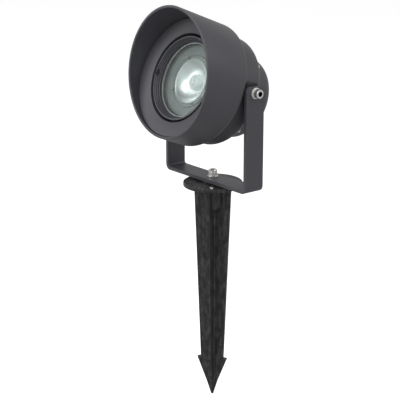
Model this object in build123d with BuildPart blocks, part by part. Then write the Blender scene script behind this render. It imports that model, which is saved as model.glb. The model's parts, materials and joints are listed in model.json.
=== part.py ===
"""Light projector stake: a tilting garden spotlight with a slanted glare hood.

Frame: millimetres, +Z up. The origin is the centre of the spike flange's underside, where the
ground comes to. X is the tilt pivot's axis, and the light faces -Y, tilted up.
Inside the lamp, "station" is the distance from the pivot along the lamp's own axis, forwards.
"""
import os
from math import cos, radians, sin, sqrt

from build123d import *

os.makedirs("parts", exist_ok=True)

# ---- Driving dimensions --------------------------------------------------------------------

# Fits
shaft_clearance = 0.05  # a screw's shank in its hole, all round
thrust_clearance = 0.1  # between faces that turn against each other
seat_clearance = 0.2  # a piece that drops into a pocket

# Ground spike
flange_radius = 34.0
flange_thickness = 5.0
flange_round = 1.2
spike_length = 260.9  # flange underside to tip
fin_thickness = 4.0
fin_top_reach = 21.7  # from the spike's axis to a fin's edge, under the flange
fin_low_reach = 13.4  # the same, just above the barbs
barb_reach = 17.9
barb_depth = 213.1  # flange underside to the barbs
barb_height = 0.5
tip_reach = 1.2
tip_taper = 18.0  # the length over which the tip is rounded to a point
tip_cut = 1.0  # how far the rounding cuts into the fins at its top
fin_turn = 29.0  # degrees that the fins stand turned from the pivot's axis
boss_radius = 11.0
boss_depth = 25.2
boss_taper = 9.0
insert_radius = 5.0
insert_length = 17.0
flange_screw_ring = 31.2  # radius on which the two flange screws stand
flange_screw_turn = -42.0
flange_screw_length = 4.0
stake_bolt_length = 25.0
washer_radius = 6.2
washer_thickness = 1.0
spring_washer_radius = 5.2
stake_spring_thickness = 1.4
split_width = 0.8  # gap in a spring washer
split_slope = 15.0  # degrees
split_turn = -30.0

# Yoke
yoke_width = 143.5  # over the outsides of both arms
strap_width = 25.0
strap_thickness = 4.0
strap_bend = 3.0  # inside radius
pivot_rise = 112.4  # strap underside to pivot
arm_rise = 7.2  # pivot to the top of an arm
arm_corner = 5.5
strap_edge = 0.4
pad_thickness = 1.4
pad_radius = 12.0

# Lamp, as a whole
tilt = 21.8  # degrees above level, at rest
lamp_drop = 6.0  # the lamp's axis passes this far below the pivot
casting_wall = 3.0

# Neck ring, which carries the pivot and the LED
neck_radius = 62.3
neck_back = -18.2  # station
neck_round = 8.5
neck_bore = 47.0
web_thickness = 6.6
web_corner = 3.0
bore_relief = 1.0
pivot_boss_radius = 10.5
pivot_boss_gap = 1.45  # boss face to arm
pivot_spring_thickness = 1.0
pivot_screw_length = 18.0
stack_screw_length = 16.0
rear_screw_length = 14.0
board_screw_length = 6.0
board_screw_ring = 15.5
driver_screw_length = 7.0

# Hood
hood_radius = 70.4
hood_wall = 3.0
strap_lap = 0.7  # its rear face stands this far behind the strap's front edge
hood_shoulder = 6.0
hood_reach = 67.9  # station of the slanted mouth, on the lamp's axis
hood_slant = 14.2  # degrees
mouth_edge = 0.4

# Front drum
drum_back_clearance = 0.1
drum_front = 49.5
drum_lip = 46.2  # station of the front face's inner edge
glass_seat = 3.7  # width of the ledge under the glass
drum_ledge = 31.5  # station of the glass seat
drum_floor = 4.0
drum_ribs = 8
rib_thickness = 2.5

# Glass and bezel
glass_radius = 44.2
glass_thickness = 4.0
glass_edge = 0.5
glass_gasket_thickness = 1.5
bezel_rim = 3.4  # how far it stands out past the glass
bezel_lap = 2.4  # how far it laps over the glass
bezel_front = 45.5
bezel_land = 1.9  # width of the bezel's flat front face
baffle_steps = 4
baffle_drop = 0.6  # share of a step that is an upright face
ear_count = 2
ear_width = 9.0
ear_length = 2.3
ear_gap = 0.3  # ear to the inside of the drum
ear_drop = 1.2  # the ears end this far behind the bezel's face
bezel_screw_inset = 1.2  # inside the bezel's outer edge
bezel_screw_length = 20.0

# Optics
board_radius = 20.0
board_thickness = 1.6
chip_radius = 6.0
chip_height = 1.2
lens_radius = 8.5
lens_shoulder = 27.0  # station where its dome begins
lens_dome = 4.0
lens_chip_gap = 0.4
reflector_gap = 11.0  # rim to the inside of the drum
reflector_flange = 4.5
reflector_screw_inset = 1.6
reflector_screw_turn = 30.0
reflector_screw_length = 3.5
reflector_front = 32.0
reflector_throat = 22.0
reflector_wall = 1.2
reflector_knee = (5.3, 3.5)  # the bend: inside the mouth, and in front of the throat
reflector_bend = 12.0
plate_thickness = 1.5
post_radius = 2.0
post_inset = 7.5  # posts to the inside of the drum

# Rear
rear_gasket_thickness = 1.5
cover_radius = 47.2
cover_back = -52.0
cover_round = 14.0
cover_flange_radius = 54.8
rear_screw_ring = 50.8
hood_gasket_radius = 60.5
hood_gasket_thickness = 1.2
stack_screw_inset = 4.0  # inside the drum's bore
stack_land = 6.5  # screws to the edge of the hole in the hood's rear wall

# Driver
driver_size = (56.0, 36.0, 17.0)
driver_ear = 8.0
driver_ear_width = 12.0
driver_ear_thickness = 3.0
terminal_size = (22.0, 14.0, 9.0)
terminal_poles = 3
terminal_pitch = 6.5
terminal_hole = 2.0
terminal_hole_depth = 5.0
lead_radius = 0.8
lead_spacing = 5.0
lead_offset = 12.0
lead_way = 0.5  # room round a lead in the web

# Cable gland
gland_thread = 8.0
gland_hex = 10.5  # corner radius
gland_collar = 4.0
gland_spigot = 7.5
gland_spigot_length = 8.0
gland_seal_radius = 6.0
gland_seal_length = 8.0
cable_bore = 4.0
gland_nut_radius = 10.0
gland_nut_length = 14.0
gland_nut_round = 3.0
locknut_thickness = 4.0
gland_tail = 7.5  # thread inside the cover
locknut_hex = 11.5
seal_depth = 2.0  # the seal starts this far behind the collar
nut_flat = 0.92  # share of the nut's radius at its six flats
nut_flat_length = 0.6  # share of its length


class Screw:
    """Sizes of a socket screw or a pan-head screw."""

    def __init__(self, shank, head, height, key, key_depth):
        self.shank = shank
        self.head = head
        self.height = height
        self.key = key
        self.key_depth = key_depth


m6 = Screw(shank=3.0, head=5.0, height=6.0, key=2.89, key_depth=3.0)
m4 = Screw(shank=2.0, head=3.3, height=2.4, key=1.44, key_depth=1.3)
m3 = Screw(shank=1.5, head=2.75, height=1.8, key=1.15, key_depth=1.0)
m2 = Screw(shank=0.8, head=1.5, height=0.7, key=0.7, key_depth=0.4)
tapping = Screw(shank=1.2, head=2.2, height=1.2, key=1.0, key_depth=0.7)
blind_end = 0.4  # a screw's hole is this much deeper than the screw

# ---- Places worked out from them -----------------------------------------------------------

strap_bottom = flange_thickness + pad_thickness + thrust_clearance
strap_top = strap_bottom + strap_thickness
pivot_z = strap_bottom + pivot_rise
arm_outside = yoke_width / 2
arm_inside = arm_outside - strap_thickness

lamp_forward = Vector(0, -cos(radians(tilt)), sin(radians(tilt)))
lamp_up = Vector(0, sin(radians(tilt)), cos(radians(tilt)))
lamp_centre = Vector(0, 0, pivot_z) - lamp_up * lamp_drop
lamp_plane = Plane(origin=lamp_centre, x_dir=(1, 0, 0), z_dir=lamp_forward)
lamp_axis = Axis(lamp_centre, lamp_forward)
outline_plane = Plane(origin=lamp_centre, x_dir=(1, 0, 0), z_dir=-lamp_up)

hood_back = strap_width / 2 - strap_lap
neck_front = hood_back - hood_gasket_thickness
web_back = neck_front - web_thickness
drum_back = hood_back + hood_wall + drum_back_clearance
floor_front = drum_back + drum_floor
drum_radius = hood_radius - hood_wall - seat_clearance
drum_bore = glass_radius - glass_seat
bezel_radius = glass_radius + bezel_rim
bezel_opening = glass_radius - bezel_lap
ear_reach = bezel_radius + ear_length
drum_mouth = ear_reach + ear_gap  # radius inside the front face
bezel_screw_ring = bezel_radius - bezel_screw_inset
stack_screw_ring = drum_bore - stack_screw_inset
hood_bore = stack_screw_ring - stack_land  # hole in its rear wall
post_ring = drum_bore - post_inset
reflector_rim = drum_bore - reflector_gap
reflector_mouth = reflector_rim - reflector_flange
reflector_screw_ring = reflector_rim - reflector_screw_inset
glass_back = drum_ledge + glass_gasket_thickness
glass_front = glass_back + glass_thickness
board_front = neck_front + board_thickness
chip_front = board_front + chip_height
plate_front = reflector_front - reflector_wall
plate_back = plate_front - plate_thickness
cover_front = neck_back - rear_gasket_thickness
cover_flange_back = cover_front - casting_wall
gland_face = cover_back - gland_collar
boss_face = arm_inside - pivot_boss_gap
washer_hole = m6.shank + seat_clearance

CENTRED_BELOW = (Align.CENTER, Align.CENTER, Align.MAX)
CENTRED_ABOVE = (Align.CENTER, Align.CENTER, Align.MIN)


# ---- Helpers -------------------------------------------------------------------------------

def station(distance):
    """The plane across the lamp's axis at this station, facing forwards."""
    return lamp_plane.offset(distance)


def seats_on_circle(plane, radius, count, start=0.0):
    """Planes spaced evenly on a circle, all facing as the given plane does."""
    seats = []
    for step in range(count):
        angle = radians(start + 360 * step / count)
        spot = plane.from_local_coords(Vector(radius * cos(angle), radius * sin(angle), 0))
        seats.append(Plane(origin=spot, x_dir=plane.x_dir, z_dir=plane.z_dir))
    return seats


def facing_back(plane):
    """The same plane, facing the other way."""
    return Plane(origin=plane.origin, x_dir=plane.x_dir, z_dir=-plane.z_dir)


def turn(points, rounds=(), mode=Mode.ADD):
    """Revolve an outline of (radius, station) points about the lamp's axis.

    rounds lists (corner point, radius) for the corners that are filleted first.
    """
    with BuildSketch(outline_plane) as outline:
        with BuildLine():
            Polyline(*points, close=True)
        make_face()
        for corner, radius in rounds:
            fillet(outline.vertices().sort_by_distance(corner)[0], radius)
    revolve(outline.sketch, axis=lamp_axis, mode=mode)


def ring(outer, inner, front, back, mode=Mode.ADD):
    """A plain ring about the lamp's axis between two stations."""
    turn([(inner, back), (outer, back), (outer, front), (inner, front)], mode=mode)


def drill(seats, radius, depth):
    """Round holes from each seat plane, against the way it faces."""
    with Locations(*seats):
        Cylinder(radius, depth, align=CENTRED_BELOW, mode=Mode.SUBTRACT)


def screw(seats, size, length):
    """A screw on each seat plane: its head stands on the plane and its shank goes below."""
    for seat in seats:
        with Locations(seat):
            Cylinder(size.shank, length, align=CENTRED_BELOW)
            Cylinder(size.head, size.height, align=CENTRED_ABOVE)
        with BuildSketch(seat.offset(size.height)) as socket:
            RegularPolygon(size.key, 6)
        extrude(socket.sketch, amount=-size.key_depth, mode=Mode.SUBTRACT)


def prism(plane, radius, length, sides=6):
    """A regular prism that stands on a plane."""
    with BuildSketch(plane) as outline:
        RegularPolygon(radius, sides)
    extrude(outline.sketch, amount=length)


def washer(seats, radius, thickness, hole):
    """A flat ring that lies on each seat plane."""
    with Locations(*seats):
        Cylinder(radius, thickness, align=CENTRED_ABOVE)
        Cylinder(hole, thickness, align=CENTRED_ABOVE, mode=Mode.SUBTRACT)


def split_gap(seats, radius, thickness):
    """The slanted gap in the spring washer on each seat plane."""
    for seat in seats:
        with Locations(seat.offset(thickness / 2)):
            Box(2 * radius, split_width, 4 * thickness, rotation=(0, split_slope, split_turn),
                align=(Align.MIN, Align.CENTER, Align.CENTER), mode=Mode.SUBTRACT)


def outer_rim(builder, plane):
    """The longest round edge that lies in a plane."""
    level = builder.edges().filter_by(
        lambda edge: abs((edge.center(CenterOf.MASS) - plane.origin).dot(plane.z_dir)) < 0.01)
    return level.filter_by(GeomType.CIRCLE).sort_by(SortBy.RADIUS)[-1]


def finish(builder, name):
    """Label a finished piece and write its STEP file."""
    builder.part.label = name
    export_step(builder.part, f"parts/{name}.step")


# ---- Ground spike --------------------------------------------------------------------------

fin_outline = [
    (fin_top_reach, 0),
    (fin_low_reach, -barb_depth),
    (barb_reach, -barb_depth - barb_height),
    (tip_reach, -spike_length),
]
mirrored_outline = [(-reach, height) for reach, height in reversed(fin_outline)]
spike_top = Plane.XY.offset(flange_thickness)
flange_screw_seats = seats_on_circle(spike_top, flange_screw_ring, 2, flange_screw_turn)
spike_tip = Plane.XY.offset(-spike_length)
tip_slope = (barb_reach - tip_reach) / (spike_length - barb_depth)

with BuildPart() as stake:
    for quarter in (0, 90):
        fin_direction = Vector(1, 0, 0).rotate(Axis.Z, fin_turn + quarter)
        fin_plane = Plane(origin=(0, 0, 0), x_dir=fin_direction,
                          z_dir=fin_direction.cross(Vector(0, 0, 1)))
        with BuildSketch(fin_plane):
            with BuildLine():
                Polyline(*fin_outline, *mirrored_outline, close=True)
            make_face()
        extrude(amount=fin_thickness / 2, both=True)
    tip_top_reach = tip_reach + tip_slope * tip_taper - tip_cut
    with BuildSketch(Plane.XZ):
        with BuildLine():
            Polyline(
                (tip_reach, -spike_length),
                (barb_reach, -spike_length),
                (barb_reach, -spike_length + tip_taper),
                (tip_top_reach, -spike_length + tip_taper),
                close=True,
            )
        make_face()
    revolve(axis=Axis.Z, mode=Mode.SUBTRACT)
    Cylinder(boss_radius, boss_depth, align=CENTRED_BELOW)
    with Locations((0, 0, -boss_depth)):
        Cone(fin_thickness, boss_radius, boss_taper, align=CENTRED_BELOW)
    Cylinder(flange_radius, flange_thickness, align=CENTRED_ABOVE)
    flange_rims = stake.edges().filter_by(GeomType.CIRCLE)
    fillet(flange_rims.filter_by(lambda edge: edge.radius == flange_radius), flange_round)
    drill([spike_top], insert_radius, insert_length)
    drill([spike_top], washer_hole, stake_bolt_length)
    drill(flange_screw_seats, tapping.shank + shaft_clearance, flange_screw_length)
finish(stake, "stake")

with BuildPart() as threaded_insert:
    washer([spike_top.offset(-insert_length)], insert_radius, insert_length,
           m6.shank + shaft_clearance)
finish(threaded_insert, "threaded_insert")

with BuildPart() as flange_screws:
    screw(flange_screw_seats, tapping, flange_screw_length)
finish(flange_screws, "flange_screws")

with BuildPart() as yoke_pad:
    washer([spike_top], pad_radius, pad_thickness, m6.shank + shaft_clearance)
finish(yoke_pad, "yoke_pad")

stake_washer_seat = Plane.XY.offset(strap_top + thrust_clearance)
stake_spring_seat = stake_washer_seat.offset(washer_thickness)
stake_bolt_seat = stake_spring_seat.offset(stake_spring_thickness)

with BuildPart() as stake_washer:
    washer([stake_washer_seat], washer_radius, washer_thickness, washer_hole)
    chamfer(outer_rim(stake_washer, stake_spring_seat), washer_thickness / 5)
finish(stake_washer, "stake_washer")

with BuildPart() as stake_spring_washer:
    washer([stake_spring_seat], spring_washer_radius, stake_spring_thickness, washer_hole)
    split_gap([stake_spring_seat], spring_washer_radius, stake_spring_thickness)
finish(stake_spring_washer, "stake_spring_washer")

with BuildPart() as stake_bolt:
    screw([stake_bolt_seat], m6, stake_bolt_length)
    chamfer(outer_rim(stake_bolt, stake_bolt_seat.offset(m6.height)), m6.head / 10)
finish(stake_bolt, "stake_bolt")

# ---- Yoke ----------------------------------------------------------------------------------

pivot_axis_plane = Plane(origin=(0, 0, pivot_z), x_dir=(0, 1, 0), z_dir=(1, 0, 0))
arm_length = pivot_rise + arm_rise

with BuildPart() as yoke:
    with BuildSketch(Plane.XZ) as strap_outline:
        with Locations((0, strap_bottom)):
            Rectangle(yoke_width, arm_length, align=(Align.CENTER, Align.MIN))
        fillet(strap_outline.vertices().group_by(Axis.Y)[0], strap_bend + strap_thickness)
        with BuildSketch(mode=Mode.SUBTRACT) as strap_inside:
            with Locations((0, strap_top)):
                Rectangle(2 * arm_inside, arm_length, align=(Align.CENTER, Align.MIN))
            fillet(strap_inside.vertices().group_by(Axis.Y)[0], strap_bend)
    extrude(amount=strap_width / 2, both=True)
    fillet(yoke.edges().filter_by(Axis.X).group_by(Axis.Z)[-1].filter_by(
        lambda edge: edge.length < strap_thickness * 2), arm_corner)
    chamfer(yoke.edges().filter_by(Axis.Z), strap_edge)
    with BuildSketch(pivot_axis_plane):
        Circle(m6.shank + shaft_clearance)
    extrude(amount=yoke_width, both=True, mode=Mode.SUBTRACT)
    with Locations((0, 0, strap_top)):
        Cylinder(m6.shank + shaft_clearance, strap_thickness, align=CENTRED_BELOW, mode=Mode.SUBTRACT)
finish(yoke, "yoke")

# ---- Tilt pivot ----------------------------------------------------------------------------

arm_sides = [
    Plane(origin=(side * arm_outside, 0, pivot_z), x_dir=(0, side, 0), z_dir=(side, 0, 0))
    for side in (1, -1)
]
boss_sides = [side.offset(-strap_thickness - pivot_boss_gap) for side in arm_sides]
pivot_washer_seats = [side.offset(thrust_clearance) for side in arm_sides]
pivot_spring_seats = [seat.offset(washer_thickness) for seat in pivot_washer_seats]
pivot_screw_seats = [seat.offset(pivot_spring_thickness) for seat in pivot_spring_seats]
friction_washer_thickness = pivot_boss_gap - thrust_clearance

with BuildPart() as pivot_screws:
    screw(pivot_screw_seats, m6, pivot_screw_length)
    for seat in pivot_screw_seats:
        chamfer(outer_rim(pivot_screws, seat.offset(m6.height)), m6.head / 10)
finish(pivot_screws, "pivot_screws")

with BuildPart() as pivot_spring_washers:
    washer(pivot_spring_seats, spring_washer_radius, pivot_spring_thickness, washer_hole)
    split_gap(pivot_spring_seats, spring_washer_radius, pivot_spring_thickness)
finish(pivot_spring_washers, "pivot_spring_washers")

with BuildPart() as pivot_flat_washers:
    washer(pivot_washer_seats, washer_radius, washer_thickness, washer_hole)
finish(pivot_flat_washers, "pivot_flat_washers")

with BuildPart() as friction_washers:
    washer(boss_sides, pivot_boss_radius, friction_washer_thickness, m6.shank + shaft_clearance)
finish(friction_washers, "friction_washers")

# ---- Neck ring -----------------------------------------------------------------------------

stack_seats = seats_on_circle(station(floor_front), stack_screw_ring, 4, 45)
rear_screw_seats = seats_on_circle(facing_back(station(cover_flange_back)), rear_screw_ring, 4, 45)
board_screw_seats = seats_on_circle(station(board_front), board_screw_ring, 2)
driver_back = web_back - driver_size[2]
driver_screw_ring = driver_size[0] / 2 + driver_ear / 2
driver_screw_seats = seats_on_circle(
    facing_back(station(web_back - driver_ear_thickness)), driver_screw_ring, 2)
lead_spots = [(side * lead_spacing / 2, -lead_offset, 0) for side in (-1, 1)]

with BuildPart() as neck_ring:
    turn(
        [(0, web_back), (neck_bore, web_back), (neck_bore, neck_back), (neck_radius, neck_back),
         (neck_radius, neck_front), (0, neck_front)],
        rounds=[((neck_radius, neck_back), neck_round), ((neck_radius, neck_front), bore_relief),
                ((neck_bore, web_back), web_corner)],
    )
    boss_length = boss_face - (neck_bore + casting_wall)
    with Locations(*boss_sides):
        Cylinder(pivot_boss_radius, boss_length, align=CENTRED_BELOW)
    drill(boss_sides, m6.shank + shaft_clearance, pivot_screw_length - strap_thickness)
    ring(neck_bore, neck_bore - bore_relief, web_back - web_corner - blind_end, neck_back,
         mode=Mode.SUBTRACT)
    drill(stack_seats, m4.shank + shaft_clearance, stack_screw_length + blind_end)
    drill(rear_screw_seats, m4.shank + shaft_clearance, rear_screw_length + blind_end)
    drill(board_screw_seats, m3.shank + shaft_clearance, board_screw_length + blind_end)
    drill(driver_screw_seats, m3.shank + shaft_clearance, driver_screw_length + blind_end)
    with Locations(station(neck_front)):
        with Locations(*lead_spots):
            Cylinder(lead_radius + lead_way, web_thickness, align=CENTRED_BELOW, mode=Mode.SUBTRACT)
finish(neck_ring, "neck_ring")

# ---- Hood and front drum -------------------------------------------------------------------

mouth_normal = lamp_forward * cos(radians(hood_slant)) - lamp_up * sin(radians(hood_slant))
mouth_plane = Plane(origin=station(hood_reach).origin, x_dir=(1, 0, 0), z_dir=mouth_normal)
hood_blank = hood_reach + hood_radius
hood_inside = hood_radius - hood_wall

with BuildPart() as hood:
    turn(
        [(hood_bore, hood_back), (hood_radius, hood_back), (hood_radius, hood_blank),
         (hood_inside, hood_blank), (hood_inside, hood_back + hood_wall),
         (hood_bore, hood_back + hood_wall)],
        rounds=[((hood_radius, hood_back), hood_shoulder),
                ((hood_inside, hood_back + hood_wall), hood_shoulder - hood_wall)],
    )
    split(bisect_by=mouth_plane, keep=Keep.BOTTOM)
    mouth_edges = hood.edges().filter_by(lambda edge: abs(
        (edge.center(CenterOf.MASS) - mouth_plane.origin).dot(mouth_normal)) < mouth_edge)
    chamfer(mouth_edges.filter_by(lambda edge: edge.length > hood_radius * 6), mouth_edge)
    drill(stack_seats, m4.shank + shaft_clearance, stack_screw_length)
finish(hood, "hood")

with BuildPart() as hood_gasket:
    ring(hood_gasket_radius, hood_bore, hood_back, neck_front)
    drill(stack_seats, m4.shank + shaft_clearance, stack_screw_length)
finish(hood_gasket, "hood_gasket")

drum_inner_wall = drum_mouth + casting_wall
drum_outer_wall = drum_radius - casting_wall
drum_pocket_front = drum_lip - casting_wall
bezel_screw_seats = seats_on_circle(station(bezel_front - ear_drop), bezel_screw_ring, ear_count)

with BuildPart() as front_drum:
    turn(
        [(hood_bore, drum_back), (drum_radius, drum_back), (drum_radius, drum_front),
         (drum_mouth, drum_lip), (drum_mouth, drum_ledge), (drum_bore, drum_ledge),
         (drum_bore, floor_front), (hood_bore, floor_front)],
        rounds=[((drum_radius, drum_back), hood_shoulder - hood_wall)],
    )
    ring(drum_outer_wall, drum_inner_wall, drum_pocket_front, drum_back, mode=Mode.SUBTRACT)
    rib_ring = (drum_outer_wall + drum_inner_wall) / 2
    for rib in seats_on_circle(station(drum_back), rib_ring, drum_ribs):
        rib_turn = rib.origin - station(drum_back).origin
        with BuildSketch(Plane(origin=rib.origin, x_dir=rib_turn, z_dir=rib.z_dir)):
            Rectangle(drum_outer_wall - drum_inner_wall + casting_wall / 2, rib_thickness)
        extrude(amount=drum_pocket_front - drum_back)
    drill(stack_seats, m4.shank + shaft_clearance, drum_floor)
    drill(bezel_screw_seats, m3.shank + shaft_clearance, bezel_screw_length + blind_end)
finish(front_drum, "front_drum")

with BuildPart() as stack_screws:
    screw(stack_seats, m4, stack_screw_length)
finish(stack_screws, "stack_screws")

# ---- Glass and bezel -----------------------------------------------------------------------

with BuildPart() as glass_gasket:
    ring(glass_radius, drum_bore, glass_back, drum_ledge)
finish(glass_gasket, "glass_gasket")

with BuildPart() as front_glass:
    turn([(0, glass_back), (glass_radius, glass_back), (glass_radius, glass_front),
          (0, glass_front)],
         rounds=[((glass_radius, glass_front), glass_edge),
                 ((glass_radius, glass_back), glass_edge)])
finish(front_glass, "front_glass")

bezel_skirt = glass_radius + seat_clearance
bezel_back = station(drum_ledge + seat_clearance)
bezel_inner_front = bezel_radius - bezel_land
step_rise = (bezel_front - glass_front) / baffle_steps
step_run = (bezel_inner_front - bezel_opening) / baffle_steps
baffle = []
for step in range(baffle_steps):
    height = bezel_front - step * step_rise
    baffle += [
        (bezel_inner_front - step * step_run, height),
        (bezel_inner_front - step * step_run, height - baffle_drop * step_rise),
    ]

with BuildPart() as bezel_ring:
    turn([(bezel_opening, glass_front), (bezel_skirt, glass_front),
          (bezel_skirt, drum_ledge + seat_clearance), (bezel_radius, drum_ledge + seat_clearance),
          (bezel_radius, bezel_front)] + baffle
         + [(bezel_opening, glass_front + (1 - baffle_drop) * step_rise)])
    for seat in bezel_screw_seats:
        outward = seat.origin - station(bezel_front - ear_drop).origin
        with BuildSketch(Plane(origin=bezel_back.origin, x_dir=outward, z_dir=lamp_forward)):
            with Locations((bezel_skirt, 0)):
                Rectangle(ear_reach - bezel_skirt, ear_width, align=(Align.MIN, Align.CENTER))
        extrude(amount=bezel_front - ear_drop - drum_ledge - seat_clearance)
    drill(bezel_screw_seats, m3.shank + shaft_clearance, bezel_screw_length)
    with Locations(*bezel_screw_seats):
        Cylinder(m3.head + seat_clearance, 2 * ear_drop, align=CENTRED_ABOVE, mode=Mode.SUBTRACT)
finish(bezel_ring, "bezel_ring")

with BuildPart() as bezel_screws:
    screw(bezel_screw_seats, m3, bezel_screw_length)
finish(bezel_screws, "bezel_screws")

# ---- Optics --------------------------------------------------------------------------------

with BuildPart() as led_board:
    ring(board_radius, 0, board_front, neck_front)
    drill(board_screw_seats, m3.shank + shaft_clearance, board_thickness)
finish(led_board, "led_board")

with BuildPart() as board_screws:
    screw(board_screw_seats, m3, board_screw_length)
finish(board_screws, "board_screws")

with BuildPart() as led_chip:
    ring(chip_radius, 0, chip_front, board_front)
finish(led_chip, "led_chip")

with BuildPart() as led_lens:
    dome_radius = (lens_radius ** 2 + lens_dome ** 2) / (2 * lens_dome)
    dome_half = dome_radius - sqrt(dome_radius ** 2 - (lens_radius / 2) ** 2)
    with BuildSketch(outline_plane):
        with BuildLine():
            Polyline(
                (0, lens_shoulder + lens_dome),
                (0, chip_front + lens_chip_gap),
                (chip_radius + lens_chip_gap, chip_front + lens_chip_gap),
                (chip_radius + lens_chip_gap, board_front),
                (lens_radius, board_front),
                (lens_radius, lens_shoulder),
            )
            ThreePointArc(
                (lens_radius, lens_shoulder),
                (lens_radius / 2, lens_shoulder + lens_dome - dome_half),
                (0, lens_shoulder + lens_dome),
            )
        make_face()
    revolve(axis=lamp_axis)
finish(led_lens, "led_lens")

throat_radius = lens_radius + seat_clearance
throat_outer = throat_radius + reflector_wall
knee_inset, knee_front = reflector_knee
knee_radius = reflector_mouth - knee_inset
rim_screw_seats = seats_on_circle(
    station(reflector_front), reflector_screw_ring, 4, reflector_screw_turn)

with BuildPart() as reflector:
    with BuildSketch(outline_plane):
        with BuildLine():
            FilletPolyline(
                (throat_radius, reflector_throat),
                (knee_radius, reflector_throat + knee_front),
                (reflector_mouth, reflector_front),
                radius=reflector_bend,
            )
            Polyline(
                (reflector_mouth, reflector_front),
                (reflector_rim, reflector_front),
                (reflector_rim, plate_front),
                (reflector_mouth + reflector_wall, plate_front),
            )
            FilletPolyline(
                (reflector_mouth + reflector_wall, plate_front),
                (knee_radius + reflector_wall, reflector_throat - reflector_wall + knee_front),
                (throat_outer, reflector_throat - reflector_wall),
                radius=reflector_bend,
            )
            Polyline(
                (throat_outer, reflector_throat - reflector_wall),
                (throat_outer, board_front),
                (throat_radius, board_front),
                (throat_radius, reflector_throat),
            )
        make_face()
    revolve(axis=lamp_axis)
    drill(rim_screw_seats, m2.shank + shaft_clearance, reflector_wall)
finish(reflector, "reflector")

with BuildPart() as reflector_screws:
    screw(rim_screw_seats, m2, reflector_screw_length)
finish(reflector_screws, "reflector_screws")

with BuildPart() as optic_plate:
    ring(drum_bore - seat_clearance, reflector_mouth + reflector_wall + seat_clearance,
         plate_front, plate_back)
    drill(rim_screw_seats, m2.shank + shaft_clearance, reflector_wall + plate_thickness)
    with Locations(*seats_on_circle(station(floor_front), post_ring, 4)):
        Cylinder(post_radius, plate_back - floor_front, align=CENTRED_ABOVE)
finish(optic_plate, "optic_plate")

# ---- Driver --------------------------------------------------------------------------------

with BuildPart() as driver:
    with Locations(facing_back(station(web_back))):
        Box(*driver_size, align=CENTRED_ABOVE)
        Box(driver_size[0] + 2 * driver_ear, driver_ear_width, driver_ear_thickness,
            align=CENTRED_ABOVE)
    drill(driver_screw_seats, m3.shank + shaft_clearance, driver_ear_thickness)
finish(driver, "driver")

with BuildPart() as driver_screws:
    screw(driver_screw_seats, m3, driver_screw_length)
finish(driver_screws, "driver_screws")

with BuildPart() as terminal_block:
    with Locations(facing_back(station(driver_back))):
        Box(*terminal_size, align=CENTRED_ABOVE)
    with Locations(facing_back(station(driver_back)).offset(terminal_size[2])):
        with GridLocations(terminal_pitch, terminal_pitch, terminal_poles, 1):
            Cylinder(terminal_hole, terminal_hole_depth, align=CENTRED_BELOW, mode=Mode.SUBTRACT)
finish(terminal_block, "terminal_block")

with BuildPart() as led_leads:
    with Locations(station(web_back)):
        with Locations(*lead_spots):
            Cylinder(lead_radius, web_thickness, align=CENTRED_ABOVE)
finish(led_leads, "led_leads")

# ---- Rear cover ----------------------------------------------------------------------------

cover_bore = cover_radius - casting_wall

with BuildPart() as rear_gasket:
    ring(neck_radius - neck_round - seat_clearance, neck_bore + seat_clearance, neck_back, cover_front)
    drill(rear_screw_seats, m4.shank + shaft_clearance, rear_screw_length)
finish(rear_gasket, "rear_gasket")

with BuildPart() as rear_cover:
    turn(
        [(cover_bore, cover_front), (cover_flange_radius, cover_front),
         (cover_flange_radius, cover_flange_back), (cover_radius, cover_flange_back),
         (cover_radius, cover_back), (0, cover_back), (0, cover_back + casting_wall),
         (cover_bore, cover_back + casting_wall)],
        rounds=[((cover_radius, cover_back), cover_round),
                ((cover_bore, cover_back + casting_wall), cover_round - casting_wall),
                ((cover_flange_radius, cover_flange_back), casting_wall / 4)],
    )
    drill(rear_screw_seats, m4.shank + shaft_clearance, casting_wall)
    drill([station(cover_back + casting_wall)], gland_thread + shaft_clearance, casting_wall)
finish(rear_cover, "rear_cover")

with BuildPart() as rear_cover_screws:
    screw(rear_screw_seats, m4, rear_screw_length)
finish(rear_cover_screws, "rear_cover_screws")

# ---- Cable gland ---------------------------------------------------------------------------

gland_start = facing_back(station(cover_back))
spigot_end = gland_face - gland_spigot_length
seal_back = gland_face - seal_depth
cable_way = cable_bore + seat_clearance

with BuildPart() as gland_body:
    prism(gland_start, gland_hex, gland_collar)
    ring(gland_spigot, 0, gland_face, spigot_end)
    ring(gland_thread, 0, cover_back + gland_tail, cover_back)
    ring(cable_way, 0, cover_back + gland_tail, spigot_end, mode=Mode.SUBTRACT)
    ring(gland_seal_radius, 0, seal_back, spigot_end, mode=Mode.SUBTRACT)
finish(gland_body, "gland_body")

with BuildPart() as gland_locknut:
    prism(station(cover_back + casting_wall), locknut_hex, locknut_thickness)
    ring(gland_thread + shaft_clearance, 0, cover_back + casting_wall + locknut_thickness,
         cover_back + casting_wall, mode=Mode.SUBTRACT)
finish(gland_locknut, "gland_locknut")

with BuildPart() as gland_seal:
    ring(gland_seal_radius, cable_bore, seal_back, seal_back - gland_seal_length)
finish(gland_seal, "gland_seal")

nut_front = gland_face - seat_clearance
nut_back = nut_front - gland_nut_length

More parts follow.
